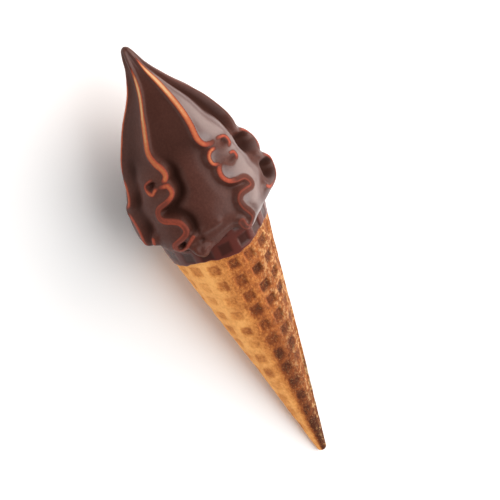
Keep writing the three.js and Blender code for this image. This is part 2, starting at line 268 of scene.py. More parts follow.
RIBBON_C = [
    (1, 0.3, 0, 0, [(205.4, 34), (200.5, 34)]),
    (1, 0.35, 0.7, 0.5, [(197.6, 32)]),
    (1, 0.7, 1, 0.55, [(194.3, 30.6)]),
    (1, 1.0, 1, 0.6, [(189.6, 31.6), (184.5, 29)]),
    (1, 1.05, 0.85, 0.6, [(180.9, 26.8), (176.7, 24.9)]),
    (1, 1.0, 0.66, 0.55, [(171.1, 22.1), (167.7, 20.2), (165.4, 20)]),
    (1, 0.9, 0.6, 0.5, [(163, 22.8)]),
    (0.9, 0.8, 0.3, 0.3, [(162, 28.2)]),
    (0.85, 0.7, 0.05, 0.05, [(162.1, 34.6)]),
    (0.98, 0.5, 0.5, 0.4, [(161.7, 41.3), (160.7, 46.3), (158.9, 47.6), (157.2, 46)]),
    (0.85, 0.6, 0, 0, [(156.4, 40.7), (157.4, 34.7), (158.9, 30.7)]),
    (1, 0.55, 0.72, 0.5, [(159.3, 27.1), (158.9, 23.4), (157.6, 20.9), (155.7, 20.6)]),
    (1, 0.5, 0.6, 0.4, [(154.7, 22.2)]),
    (0.85, 0.6, 0, 0, [(154.4, 26.4), (154.8, 32.8), (155, 37.7)]),
    (0.95, 0.4, 0.5, 0.4, [(154.8, 40.6), (154.2, 43.8), (152.1, 43.6)]),
    (0.85, 0.5, 0.1, 0.1, [(151, 40.4), (150.3, 34.6), (151.5, 30.9), (153, 26.9)]),
    (1, 0.8, 0.5, 0.5, [(151.8, 23), (149.4, 22.1), (147, 24.8)]),
    (1, 1.1, 0.14, 0.33, [(145.9, 30.2), (145, 37.1), (143, 40)]),
    (1, 1.0, 0.14, 0.36, [(140.4, 40.2), (139.3, 37.5), (139.5, 32.8), (139.4, 27.4)]),
    (1, 1.0, 0.12, 0.34, [(137.8, 25), (134.9, 26), (131.6, 29.2)]),
    (1, 0.9, 0.14, 0.34, [(128.4, 31.5), (126, 30), (124, 28)]),
]
RIBBON_D = [
    (1, 0.3, 0, 0, [(205.4, 66), (196, 70)]),
    (1, 0.5, 0.15, 0.15, [(186, 76), (176.7, 78), (171, 78), (165, 77), (162, 74)]),
    (0.9, 0.6, 0.05, 0.05, [(160, 70), (158.4, 66), (157.4, 68)]),
    (1, 0.5, 0.4, 0.35, [(156, 75), (152.6, 84), (149.6, 86), (147.9, 80)]),
    (0.95, 0.7, 0.05, 0.05, [(147, 70), (146.2, 66), (144.6, 68)]),
    (1, 0.5, 0.42, 0.38, [(141.8, 77), (138.5, 84), (136, 87), (134, 84), (133, 79)]),
    (1, 0.5, 0.2, 0.2, [(132.6, 72), (133, 62)]),
    (0.95, 0.5, 0.5, 0.4, [(133.8, 55), (135.2, 52)]),
]

# The curls: a short nub between the first two fins, the hook at the second fin's end, the rim
# of the large drip, the hook at the third fin's end and a fold of the skin above the lip
CURLS = [
    [(0.95, 0.7, 0.5, 0.45, [(135.4, -48.6), (134.4, -49.4), (133, -50.8)])],
    [(0.95, 0.7, 0.3, 0.42, [(127.2, -32.5)]),
     (0.95, 0.6, 0.4, 0.4, [(128.4, -26.7), (131, -21), (133, -16.5)])],
    [(0.9, 1.1, 0.1, 0.16, [(127.6, -21.3), (125, -21), (122.9, -17.5)]),
     (0.9, 1.1, 0.04, 0.1, [(123.4, -13.5), (125, -11)])],
    [(1, 0.9, 0.14, 0.34, [(124.4, 27), (125, 24), (126.6, 22)]),
     (0.85, 1.3, 0.16, 0.26, [(129.6, 20)])],
    [(0.5, 0.4, 0, 0, [(133.2, -9), (133.8, -3), (134.5, 4)])],
]

# How far each hidden fin's ribbon sways to its right on the way down: height and millimetres
SWAYS = {
    4: [(166, 0), (160, 4), (155, -1), (149, 6.5), (143, 0), (137, 7.5), (131, 1.5), (126, 3)],
    5: [(165, 0), (158, 3.5), (152, -2), (146, 4), (139, -3), (133, 3.5), (127, -1)],
    6: [(167, 0), (161, -3.5), (154, 3), (148, -3.5), (141, 3.5), (135, -4), (129, 1)],
}

# The hollow from each fin to the next: its depth as a share of the crest's radius, high up
# and among the ruffles, where its deepest line lies across it, how round it is, and how
# glossy its chocolate set, near the fin, far from it and up the next fin's side.
HOLLOWS = [(0.1, 0.05, 0.9, 0.9, 0.1, 0.1, 0.1), (0.11, 0.065, 1, 0.9, 0.1, 0.15, 0.15),
           (0.2, 0.06, 2.6, 1.5, 1, 0.05, 0.25), (0.13, 0.09, 1, 1, 0.5, 0.5, 0.5),
           (0.12, 0.09, 1, 1, 0.5, 0.5, 0.5), (0.12, 0.09, 1, 1, 0.5, 0.5, 0.5),
           (0.12, 0.09, 1, 1, 0.5, 0.2, 0.2)]

# The trench beside each ruffled crest, left and right of it: depth, distance and half width
TRENCHES = [((0.6, 3, 3), (1.2, 4, 4)), ((0, 3, 3), (3.6, 1.2, 3.9)), ((1.8, 1, 3.2), (0, 3, 3)),
            ((0.4, 4, 6), (0.6, 3, 3)), ((0.8, 3, 3), (0.8, 3, 3)), ((0.8, 3, 3), (0.8, 3, 3)),
            ((0.8, 3, 3), (0.8, 3, 3))]

# How deep the small step beside each straight crest is, left and right of it
STEPS = [(0.4, 0.5), (0.2, 0.9), (1.0, 0.1), (0.2, 0.4), (0.6, 0.6), (0.6, 0.6), (0.6, 0.6)]

# How far the top of each ruffled crest leans to its right
LEANS = [0.3, 0.25, -0.35, 0.3, 0, 0, 0]

# How much of the thin chocolate along a ruffled crest's edges shows on its right side
RIGHT_EDGES = [0.8, 0.75, 0.35, 1, 1, 1, 1]

# Hollows (and bumps, below zero) between the folds: height, angle, depth and half width
DENTS = [(157, -13.5, 1.2, 3.6), (151, -14.5, 1.4, 3.4), (147, -23, 1, 3), (139, -14, 0.8, 4),
         (161.5, -62, 0.8, 4), (150, -60.5, 1, 4), (139, -52.5, 0.9, 4), (156.1, -37.6, 0.6, 1.7),
         (144.6, 24.5, 0.9, 3), (153.9, 40.9, 0.8, 1.6),
         (159.6, 41.5, 0.6, 2), (160.2, 27, 1.2, 2), (152.2, 33.5, 0.8, 2),
         (136, 0, -0.7, 6), (128, 77, 5, 5)]

# Crisp small holes and slots between close curls: height, angle, depth and half width
HOLES = [(129.3, -12.9, 1.6, 0.9), (129.6, -11.9, 1.2, 0.8), (133, -18.4, 1.6, 1),
         (131.6, -21.9, 2.2, 1.1), (130.4, -25.6, 2.4, 1.2), (129.7, -29, 2.4, 1.1),
         (156.1, -37.6, 0.8, 1.4), (160.1, 41.6, 0.9, 1.3), (154.2, 41, 1, 1.1)]

# The deep round pockets inside the fourth fin's folds, whose insides are darkened with full
# painted shade: height, angle, depth, half height and half width
POCKETS = [(152.8, 69, 3.8, 6, 9), (138.2, 76, 4, 6.6, 9)]

# Cushions that fill the tight loops nearly to their crests and dull their gloss: height, angle,
# share and half width
CUSHIONS = [(158.6, 36, 0.8, 3.4), (156, 29, 0.75, 3.2), (152.6, 31, 0.6, 2.6),
            (155.6, -31, 0.6, 3.4)]
CUSHION_DULLING = 0.65

# The lip's lower edge: angle and height
LIP_LINE = [(-178, 126), (-160, 125.2), (-145, 126.4), (-128, 122.8), (-112, 126.2), (-95, 127),
            (-80, 126.9), (-62, 129.3), (-53, 128.1), (-44, 125.6), (-36, 125.1), (-27, 124.6),
            (-22, 122.9), (-18, 121.8), (-14, 122.2), (-10, 123.8), (-3, 124.4), (3, 125.6),
            (12, 127), (18, 126.4), (23, 123.9), (28, 123.4), (34, 124.4), (40, 125.9),
            (52, 126.8), (64, 127.5), (80, 128), (96, 127.2), (112, 126.4), (126, 124.6),
            (140, 123.4), (154, 125.4), (168, 126.6)]
LIP_STAND = 0.8

# Drips at the lip: height, angle, how far each stands out and its half width, which is
# measured round the lip at DROP_RADIUS
DROPS = [(125, -17.5, 2.3, 3.0), (124.5, 140, 1.5, 3.4), (124, -128, 1.6, 3.2)]
DROP_RADIUS = 27
DROP_SQUAT = 0.8
DROP_ROUNDNESS = 2.4

# How a ribbon's distances are worked out: the step between its points and the distance that
# stands for far away, in millimetres, and how far round it reaches, in degrees
RIBBON_STEP = 0.3
FAR_AWAY = 60
RIBBON_REACH = 62
TINY = 1e-6

# How softly a crest falls away and how blurred its thin edge is, in millimetres, each at the
# straight crests and at the ruffles. The step beside a straight crest is so wide, and no
# deeper than a share of the crest's radius.
CREST_FALL = (0.7, 1.3)
EDGE_BLUR = (0.2, 0.45)
STEP_WIDTH = 6
STEP_SHARE = 0.08

# Where across a hollow its gloss changes, as shares of the way from fin to fin
GLOSS_TO_FAR = (0.4, 0.62)
GLOSS_TO_SIDE = (0.86, 0.96)
PEAK_GLOSS = 0.3

# The depth below the open skin where chocolate starts pooling, with painted shade darkening
# it, and where both are full
POOL_SHADE_DEPTHS = (0.4, 2.6)

# How fast a soft round patch fades away from its middle
BLOB_FADE = 1.4


def crest_radius(height):
    return smooth_through(CREST_OUTLINE, height)


def profile_lengths():
    """Distance walked down the outline of the crests, as (height, length) pairs."""
    heights = np.linspace(LIP_HEIGHT, PEAK_HEIGHT, 400)
    steps = np.hypot(np.diff(heights), np.diff(crest_radius(heights)))
    return heights, np.concatenate([[0], np.cumsum(steps)])


OUTLINE_HEIGHTS, OUTLINE_LENGTHS = profile_lengths()


def walked(height):
    """Distance up the skin from the lip."""
    below = np.minimum(height - LIP_HEIGHT, 0)
    return np.interp(height, OUTLINE_HEIGHTS, OUTLINE_LENGTHS) + below


def swaying_ribbon(fin):
    """A hidden fin's ribbon, from how far it sways."""
    trunk = FIRST_FIN_ANGLE + fin * FIN_STEP
    down = [(h, trunk + math.degrees(s / float(crest_radius(h)))) for h, s in SWAYS[fin]]
    top = [(PEAK_HEIGHT, trunk), (197, trunk)]
    bare = [(190, trunk), (180, trunk), (172, trunk)]
    return [(1, 0.3, 0, 0, top), (1, 0.8, 0.6, 0.5, bare), (0.95, 0.8, 0.4, 0.42, down)]


RIBBONS = [RIBBON_A, RIBBON_B, RIBBON_C, RIBBON_D] + [swaying_ribbon(fin) for fin in SWAYS]


def drawn_ribbon(stretches):
    """A ribbon as closely set points: height, angle, stand, half width and thinness twice."""
    knots = np.array([(h, a, *look) for *look, points in stretches for h, a in points])
    flat = np.stack([walked(knots[:, 0]), np.radians(knots[:, 1]) * crest_radius(knots[:, 0])], 1)
    gaps = np.hypot(*np.diff(flat, axis=0).T)
    places = np.concatenate([[0], np.cumsum(np.maximum(gaps, RIBBON_STEP))])
    steps = np.arange(0, places[-1], RIBBON_STEP)
    drawn = [smooth_through(np.stack([places, knots[:, k]], 1), steps) for k in (0, 1)]
    drawn += [np.interp(steps, places, knots[:, k]) for k in (2, 3, 4, 5)]
    return np.stack(drawn, 1)


def ribbon_field(ribbon, height, angle):
    """Distance from the ribbon's middle line, the side (1 is right of it), and its look."""
    middle = (ribbon[:, 1].min() + ribbon[:, 1].max()) / 2
    distance = np.full(len(height), float(FAR_AWAY))
    side = np.sign(turn_between(angle, middle))
    look = np.tile(ribbon[0, 2:], (len(height), 1))
    near = np.nonzero(np.abs(turn_between(angle, middle)) < RIBBON_REACH)[0]
    crest = crest_radius(height)
    up = walked(height)
    ribbon_up = walked(ribbon[:, 0])
    count = len(ribbon)
    ahead = np.minimum(np.arange(count) + 1, count - 1)
    behind = np.maximum(np.arange(count) - 1, 0)
    for part in np.array_split(near, max(1, len(near) // 4000)):
        aside = np.radians(turn_between(angle[part, None], ribbon[None, :, 1])) * crest[part, None]
        rise = up[part, None] - ribbon_up[None, :]
        nearest = np.argmin(aside ** 2 + rise ** 2, axis=1)
        aside = aside[np.arange(len(part)), nearest]
        rise = rise[np.arange(len(part)), nearest]
        distance[part] = np.hypot(aside, rise)
        run_up = ribbon_up[ahead[nearest]] - ribbon_up[behind[nearest]]
        run_turn = ribbon[ahead[nearest], 1] - ribbon[behind[nearest], 1]
        run_aside = np.radians(run_turn) * crest[part]
        cross = run_aside * rise - run_up * aside
        side[part] = np.clip(cross / (np.hypot(run_up, run_aside) * 0.4 + TINY), -1, 1)
        look[part] = ribbon[nearest, 2:]
    return distance, side, look.T


def hollow(height, distances, sides):
    """Depth of the hollow between the two nearest fins, high up and among the ruffles, and
    its gloss."""
    row = np.arange(len(height))
    nearest = np.argmin(distances, axis=0)
    fin = np.where(sides[nearest, row] > 0, nearest, nearest - 1) % FIN_COUNT
    left = distances[fin, row]
    right = distances[(fin + 1) % FIN_COUNT, row]
    across = left / (left + right + TINY)
    high, low, skew, roundness, near_gloss, far_gloss, side_gloss = np.array(HOLLOWS)[fin].T
    depth = np.sin(np.pi * across ** skew) ** roundness * crest_radius(height)
    gloss = lerp(near_gloss, far_gloss, smoothstep(across, *GLOSS_TO_FAR))
    gloss = lerp(gloss, side_gloss, smoothstep(across, *GLOSS_TO_SIDE))
    return high * depth, low * depth, gloss


def patch_distance(height, angle, spot, tall, wide):
    """How far from a spot, a height and an angle: 1 on the oval round it."""
    aside = np.radians(turn_between(angle, spot[1])) * crest_radius(height)
    return np.hypot(aside / wide, (walked(height) - walked(np.array(spot[0]))) / tall)


def blob(height, angle, spot, half):
    """A soft round patch on the skin: 1 at its middle, a height and an angle, then less."""
    return np.exp(-patch_distance(height, angle, spot, half, half) ** 2 * BLOB_FADE)


def swirl_skin(height, angle):
    """The dipped swirl at heights and angles: its radius without hollows, how deep they and
    the small holes are, how much of that depth the crests leave, how thin and glossy the
    chocolate is, and how much it pools and is darkened there by painted shade."""
    crest = crest_radius(height)
    wild = 1 - smoothstep(height, RUFFLE_FULL, RUFFLE_TOP)
    fields = [ribbon_field(drawn_ribbon(run), height, angle) for run in RIBBONS + CURLS]
    distances = np.array([distance for distance, _, _ in fields[:FIN_COUNT]])
    sides = np.array([side for _, side, _ in fields[:FIN_COUNT]])
    straight_fall, ruffle_fall, gloss = hollow(height, distances, sides)
    shallow = ruffle_fall.copy()
    rise = np.ones(len(height))
    thin = np.zeros(len(height))
    for fin, (distance, side, look) in enumerate(fields):
        stand, half, middle_thin, edge_thin = look
        if fin < FIN_COUNT:
            to_right = 0.5 + 0.5 * side
            for share, (depth, away, wide) in zip((1 - to_right, to_right), TRENCHES[fin]):
                ruffle_fall += share * depth * np.exp(-((distance - away) / wide) ** 2)
            step = np.minimum(lerp(*STEPS[fin], to_right), crest * STEP_SHARE)
            straight_fall += step * np.exp(-(distance / STEP_WIDTH) ** 2)
            leaning = np.abs(distance * np.sign(side) - LEANS[fin] * wild)
            distance = lerp(distance, leaning, np.abs(side))
            edge_thin = edge_thin * lerp(1, RIGHT_EDGES[fin], wild * to_right)
        soft = lerp(*CREST_FALL, wild)
        lift = stand * np.exp(-(np.maximum(distance - half * 0.8, 0) / soft) ** 2)
        rise = rise * (1 - lift)
        edge = lerp(middle_thin, edge_thin, smoothstep(distance, half * 0.3, half * 0.95))
        blur = lerp(*EDGE_BLUR, wild)
        edge = edge * (1 - smoothstep(distance, half * 0.95, half * 1.1 + blur))
        thin = np.maximum(thin, edge)
    fall = lerp(straight_fall, ruffle_fall, wild)
    for *spot, share, half in CUSHIONS:
        fall = fall * (1 - share * blob(height, angle, spot, half))
        gloss = gloss * (1 - CUSHION_DULLING * blob(height, angle, spot, half + 1))
    for *spot, depth, half in DENTS:
        fall = fall + depth * blob(height, angle, spot, half)
    # Each pocket deepens the hollow, and its inside is marked for full painted shade
    inside = np.zeros(len(height))
    for *spot, depth, tall, wide in POCKETS:
        off = patch_distance(height, angle, spot, tall, wide)
        fall = fall + depth * (1 - smoothstep(off, 0.3, 1.1))
        inside = np.maximum(inside, 1 - smoothstep(off, 0.35, 0.95))
    holes = sum(depth * blob(height, angle, spot, half) for *spot, depth, half in HOLES)
    # Where the chocolate pools it is duller, and its colour is darkened as painted shade
    pooled_and_shaded = smoothstep((fall + holes) * rise - shallow * 0.7, *POOL_SHADE_DEPTHS)
    pooled_and_shaded = np.maximum(pooled_and_shaded, inside)
    gloss = lerp(gloss * (1 - pooled_and_shaded), PEAK_GLOSS, smoothstep(height, 190, 200))
    return crest, fall, holes, rise, thin, pooled_and_shaded, gloss


def lip_line(angle):
    """Height of the lip's lower edge round the swirl."""
    points = [(a + turn, h) for turn in (-360, 0, 360) for a, h in LIP_LINE]
    return smooth_through(sorted(points), turn_between(angle, 0))


def collar_radius(height, angle):
    """Outside of the thin chocolate over the wafer, which still shows the waffle."""
    pocket, _, _ = waffle(height, angle)
    return wafer_radius(height, angle) - pocket * COAT_POCKETS + COAT


# Modelling

def drum(name, columns, rows):
    """A closed drum with rings of vertices from its top down, and each vertex's ring and
    column. Ring 0 and ring rows + 1 are the middles of its two ends."""
    bm = bmesh.new()
    bmesh.ops.create_cone(bm, cap_ends=True, cap_tris=True, segments=columns, radius1=1,
                          radius2=1, depth=1)
    upright = [e for e in bm.edges if abs(e.verts[0].co.z - e.verts[1].co.z) > 0.5]
    bmesh.ops.subdivide_edges(bm, edges=upright, cuts=rows - 2)
    mesh = bpy.data.meshes.new(name)
    bm.to_mesh(mesh)
    bm.free()
    spots = np.zeros(len(mesh.vertices) * 3)
    mesh.vertices.foreach_get("co", spots)
    x, y, z = spots.reshape(-1, 3).T
    ring = np.round((0.5 - z) * (rows - 1)).astype(int) + 1
    ring = np.where(np.hypot(x, y) < 0.5, np.where(z > 0, 0, rows + 1), ring)
    column = np.round(np.degrees(np.arctan2(y, x)) / 360 * columns).astype(int) % columns
    return mesh, ring, column


def soften(grid, times):
    """Evens out a grid of values that closes round its columns."""
    for _ in range(times):
        around = (np.roll(grid, 1, axis=1) + np.roll(grid, -1, axis=1) + grid * 2) / 4
        above = np.vstack([around[:1], around[:-1]])
        below = np.vstack([around[1:], around[-1:]])
        grid = (above + below + around * 2) / 4
    return grid


def finish_mesh(mesh, points):
    """Moves the vertices to their places, faces outward, smooth."""
    mesh.vertices.foreach_set("co", lay_down(points).ravel())
    bm = bmesh.new()
    bm.from_mesh(mesh)
    bmesh.ops.recalc_face_normals(bm, faces=bm.faces[:])
    for face in bm.faces:
        face.smooth = True
    bm.to_mesh(mesh)
    bm.free()
    mesh.update()
    piece = bpy.data.objects.new(mesh.name, mesh)
    bpy.context.scene.collection.objects.link(piece)
    return piece


def add_values(mesh, name, values):
    attribute = mesh.attributes.new(name, "FLOAT", "POINT")
    attribute.data.foreach_set("value", values.astype(np.float32))


def bumpy(points, bumps):
    """How far the skin stands out at points: soft bumps of several sizes, seeds and heights."""
    return sum(ripple(points, size, seed) * stand for size, seed, stand in bumps)


def stack_rings(rings):
    """Rings, each a row of heights and one of radii, as a grid of heights and one of radii."""
    heights, radii = zip(*rings)
    return np.array(heights), np.array(radii)


# The swirl's grid: its columns lie closer in front and its rings near the lip
SWIRL_COLUMNS = 400
FRONT_FINER = 17
BODY_RINGS = 196
EVEN_SHARE = 0.62
UNDER_RINGS = 8
COLLAR_RINGS = 26
EDGE_RINGS = 5
INSIDE_RINGS = 4

# Its bumps, as size, seed and height, and what share of them the collar keeps
SWIRL_BUMPS = [(9, 1, 0.16), (3.5, 2, 0.04)]
COLLAR_CALM = 0.35

# The gloss under the lip and on the collar, and how far up the collar its end shows
PLAIN_GLOSS = 0.15
END_WIDTH = 1.3

# How many times each grid of values is evened out
FALL_PASSES = 24
SKIN_PASSES = 2
POOL_SHADE_PASSES = 5
GLOSS_PASSES = 8

# The lip's underside: how far it hangs below the lip's line and runs up behind it
LIP_HANG = 0.5
LIP_TUCK = 0.9

# How far above the chocolate's end its rounding and its inside start
END_ROUNDING = 0.5
INSIDE_START = 0.6


def swirl_body(turns, lip):
    """The swirl from its peak down to the lip, ring by ring: heights, radii, how thin and
    glossy the chocolate is, and how much it pools and is darkened there by painted shade."""
    left = 1 - np.linspace(0, 1, BODY_RINGS + 1)[:, None]
    length = OUTLINE_LENGTHS[-1] * (EVEN_SHARE * left + (1 - EVEN_SHARE) * left ** 2)
    upright = np.interp(length, OUTLINE_LENGTHS, OUTLINE_HEIGHTS)
    low = 1 - smoothstep(upright, LIP_HEIGHT, BELLY_HEIGHT)
    height = upright - (LIP_HEIGHT - lip) * low
    angle = np.tile(turns, (BODY_RINGS + 1, 1))
    looks = swirl_skin(height.ravel(), angle.ravel())
    looks = [values.reshape(height.shape) for values in looks]
    crest, fall, holes, rise, thin, pooled_and_shaded, gloss = looks
    skin = crest - (soften(fall, FALL_PASSES) + holes) * rise
    skin += crest_radius(upright) - crest_radius(height)
    for drop_height, drop_angle, stand, half in DROPS:
        aside = np.radians(turn_between(turns, drop_angle)) * DROP_RADIUS
        off = np.hypot(aside, (height - drop_height) * DROP_SQUAT) / half
        skin += stand * np.exp(-off ** DROP_ROUNDNESS)
    under_skin = collar_radius(np.minimum(height, CONE_LENGTH + 4), angle) + LIP_STAND
    skin = np.where(low > 0, np.maximum(skin, under_skin - (1 - low) * 3), skin)
    radius = soften(skin, SKIN_PASSES)
    radius[0] = 0
    return height, radius, thin, soften(pooled_and_shaded, POOL_SHADE_PASSES), soften(gloss, GLOSS_PASSES)


def lip_underside(turns, lip, lip_radius):
    """The rings that turn in under the lip, to the collar."""
    rings = []
    for k in range(UNDER_RINGS):
        gone = (k + 1) / UNDER_RINGS
        height = lip - LIP_HANG * math.sin(math.pi * gone) + LIP_TUCK * gone ** 2
        rings.append((height, lerp(lip_radius, collar_radius(height, turns), gone ** 1.4)))
    return stack_rings(rings)


def collar_outside(turns, lip, dip):
    """The collar's rings from behind the lip down to where its end rounds off."""
    rings = []
    for k in range(COLLAR_RINGS):
        height = lerp(lip + LIP_TUCK, dip + END_ROUNDING, (k + 1) / COLLAR_RINGS)
        rings.append((height, collar_radius(height, turns)))
    heights, radii = stack_rings(rings)
    return heights, soften(radii, SKIN_PASSES)


def collar_inside(turns, dip):
    """The rings round the collar's end and up inside it, to a point over the wafer's neck."""
    rings = []
    for k in range(EDGE_RINGS):
        turn = math.pi / 2 * (k + 1) / EDGE_RINGS
        height = dip + END_ROUNDING * (1 - math.sin(turn))
        rings.append((height, collar_radius(height, turns) - (COAT + GAP) * (1 - math.cos(turn))))
    for k in range(INSIDE_RINGS + 1):
        up = min(k / (INSIDE_RINGS - 1), 1)
        height = lerp(dip + INSIDE_START, CONE_LENGTH + GAP, up)
        rings.append((height, wafer_radius(height, turns) - NECK - GAP))
    heights, radii = stack_rings(rings)
    radii[-1] = 0
    return heights, radii


def make_swirl():
    rows = BODY_RINGS + UNDER_RINGS + COLLAR_RINGS + EDGE_RINGS + INSIDE_RINGS
    mesh, ring, column = drum("chocolate_swirl", SWIRL_COLUMNS, rows)
    even = np.arange(SWIRL_COLUMNS) * 360 / SWIRL_COLUMNS
    turns = turn_between(even - FRONT_FINER * np.sin(np.radians(even)), 0)
    lip = lip_line(turns)
    dip = dip_edge(turns)
    body_height, body_radius, *body_looks = swirl_body(turns, lip)
    under = lip_underside(turns, lip, body_radius[-1])
    parts = [(body_height, body_radius), under, collar_outside(turns, lip, dip),
             collar_inside(turns, dip)]
    height, radius = (np.vstack(grids) for grids in zip(*parts))
    angle = np.tile(turns, (rows + 2, 1))
    thin, pool, gloss = (np.full(angle.shape, plain) for plain in (0.0, 0.0, PLAIN_GLOSS))
    for whole, values in zip((thin, pool, gloss), body_looks):
        whole[:BODY_RINGS + 1] = values

    collar = np.zeros(angle.shape)
    collar[BODY_RINGS + UNDER_RINGS - 1:] = 1
    points = on_axis(radius.ravel(), angle.ravel(), height.ravel())
    over = (np.arange(rows + 2) <= BODY_RINGS + UNDER_RINGS / 2)[:, None] * np.ones(angle.shape)
    calm = np.where(over > 0, smoothstep(PEAK_HEIGHT - height, 2, 14), COLLAR_CALM).ravel()
    bumps = bumpy(points, SWIRL_BUMPS) * calm
    points += on_axis(bumps, angle.ravel(), np.zeros(angle.size))
    points[:, 1] += over.ravel() * smooth_through(MIDDLE_LINE, height.ravel())
    _, floor, _ = waffle(height, angle)
    ending = 1 - smoothstep(height - dip, 0, END_WIDTH)
    spot = ring * SWIRL_COLUMNS + column
    add_values(mesh, "thin", thin.ravel()[spot])
    # How much the chocolate pools, which also paints shade into its colour
    add_values(mesh, "pool", pool.ravel()[spot])
    add_values(mesh, "gloss", gloss.ravel()[spot])
    add_values(mesh, "collar", collar.ravel()[spot])
    add_values(mesh, "cell", (floor * collar).ravel()[spot])
    add_values(mesh, "end", (collar * ending).ravel()[spot])
    return finish_mesh(mesh, points[spot])


# The wafer's grid and its bumps: size, seed and height
WAFER_COLUMNS = 360
NECK_RINGS = 6
SIDE_RINGS = 238
TIP_RINGS = 14
WAFER_BUMPS = [(6, 3, 0.14), (1.8, 4, 0.08), (0.9, 5, 0.05)]
BUMPS_MIDDLE = 0.06

# How far above the chocolate's end the wafer's full side and its narrower neck start
SIDE_START = 0.6
NECK_START = 0.9

# How many times the pocket floors and the toasting are evened out. Near the tip the floors are
# broader and fainter, which a gain makes up for.
FLOOR_PASSES = 2
TIP_FLOOR_PASSES = 16
TIP_FLOOR_GAIN = 1.15
TOAST_PASSES = 8


def make_wafer():
    rows = NECK_RINGS + SIDE_RINGS + TIP_RINGS
    mesh, ring, column = drum("waffle_cone", WAFER_COLUMNS, rows)
    turned = np.tile(np.arange(WAFER_COLUMNS) * 360 / WAFER_COLUMNS, (rows + 2, 1))
    dip = dip_edge(turned[0] + SEAM_ANGLE)
    height = np.zeros(turned.shape)
    neck = np.zeros(turned.shape)
    neck[:NECK_RINGS + 1] = 1
    for k in range(NECK_RINGS + 1):
        height[k] = lerp(CONE_LENGTH, dip + NECK_START, max(k - 1, 0) / (NECK_RINGS - 1))
    for k in range(SIDE_RINGS):
        down = k / (SIDE_RINGS - 1)
        height[NECK_RINGS + 1 + k] = lerp(dip + SIDE_START, TIP_RADIUS, down)
    angle = turn_between(turned + seam_angle(height), 0)
    pocket, floor, toast = waffle(height, angle)
    wound = SEAM_STEP * smoothstep(height, 0, CONE_LENGTH / 2) * turned / 360
    radius = sheet_radius(height) - wound - pocket - NECK * neck
    for k in range(TIP_RINGS + 1):
        roll = math.pi / 2 * (k + 1) / (TIP_RINGS + 1)
        row = NECK_RINGS + SIDE_RINGS + 1 + k
        height[row] = TIP_RADIUS * (1 - math.sin(roll))
        radius[row] = sheet_radius(TIP_RADIUS) * math.cos(roll)
    radius[0] = 0
    radius[-1] = 0
    points = on_axis(radius.ravel(), angle.ravel(), height.ravel())
    bumps = (bumpy(points, WAFER_BUMPS) - BUMPS_MIDDLE) * (1 - neck.ravel())
    bumps = bumps * smoothstep(height.ravel(), 0, 6)
    points += on_axis(bumps, angle.ravel(), np.zeros(angle.size))
    edge_away = np.radians(np.abs(turn_between(turned, 0))) * radius
    tip_floor = soften(floor, TIP_FLOOR_PASSES) * TIP_FLOOR_GAIN
    floor = lerp(tip_floor, soften(floor, FLOOR_PASSES), smoothstep(height, 55, 100))
    spot = ring * WAFER_COLUMNS + column
    add_values(mesh, "pocket", floor.ravel()[spot])
    add_values(mesh, "edge", (1 - smoothstep(edge_away, 0.1, 0.6)).ravel()[spot])
    add_values(mesh, "toast", (soften(toast, TOAST_PASSES) * floor).ravel()[spot])
    add_values(mesh, "height", height.ravel()[spot] / CONE_LENGTH)
    add_values(mesh, "turn", angle.ravel()[spot] / 180)
    return finish_mesh(mesh, points[spot])


# Materials

def tone(red, green, blue):
    """A colour given as it looks on screen, 0 to 255, as the shader's linear values."""
    scaled = [c / 255 for c in (red, green, blue)]
    return tuple(c / 12.92 if c <= 0.04045 else ((c + 0.055) / 1.055) ** 2.4 for c in scaled)


class Wire:
    """A socket that can be written in sums: an expression on it adds its Math nodes."""

    def __init__(self, sheet, socket):
        self.sheet = sheet
        self.socket = socket

    def combine(self, operation, first, second):
        return self.sheet.node("ShaderNodeMath", {"operation": operation}, {0: first, 1: second})

    def __add__(self, other):
        return self.combine("ADD", self, other)

    __radd__ = __add__

    def __sub__(self, other):
        return self.combine("SUBTRACT", self, other)

    def __rsub__(self, other):
        return self.combine("SUBTRACT", other, self)

    def __mul__(self, other):
        return self.combine("MULTIPLY", self, other)

    __rmul__ = __mul__


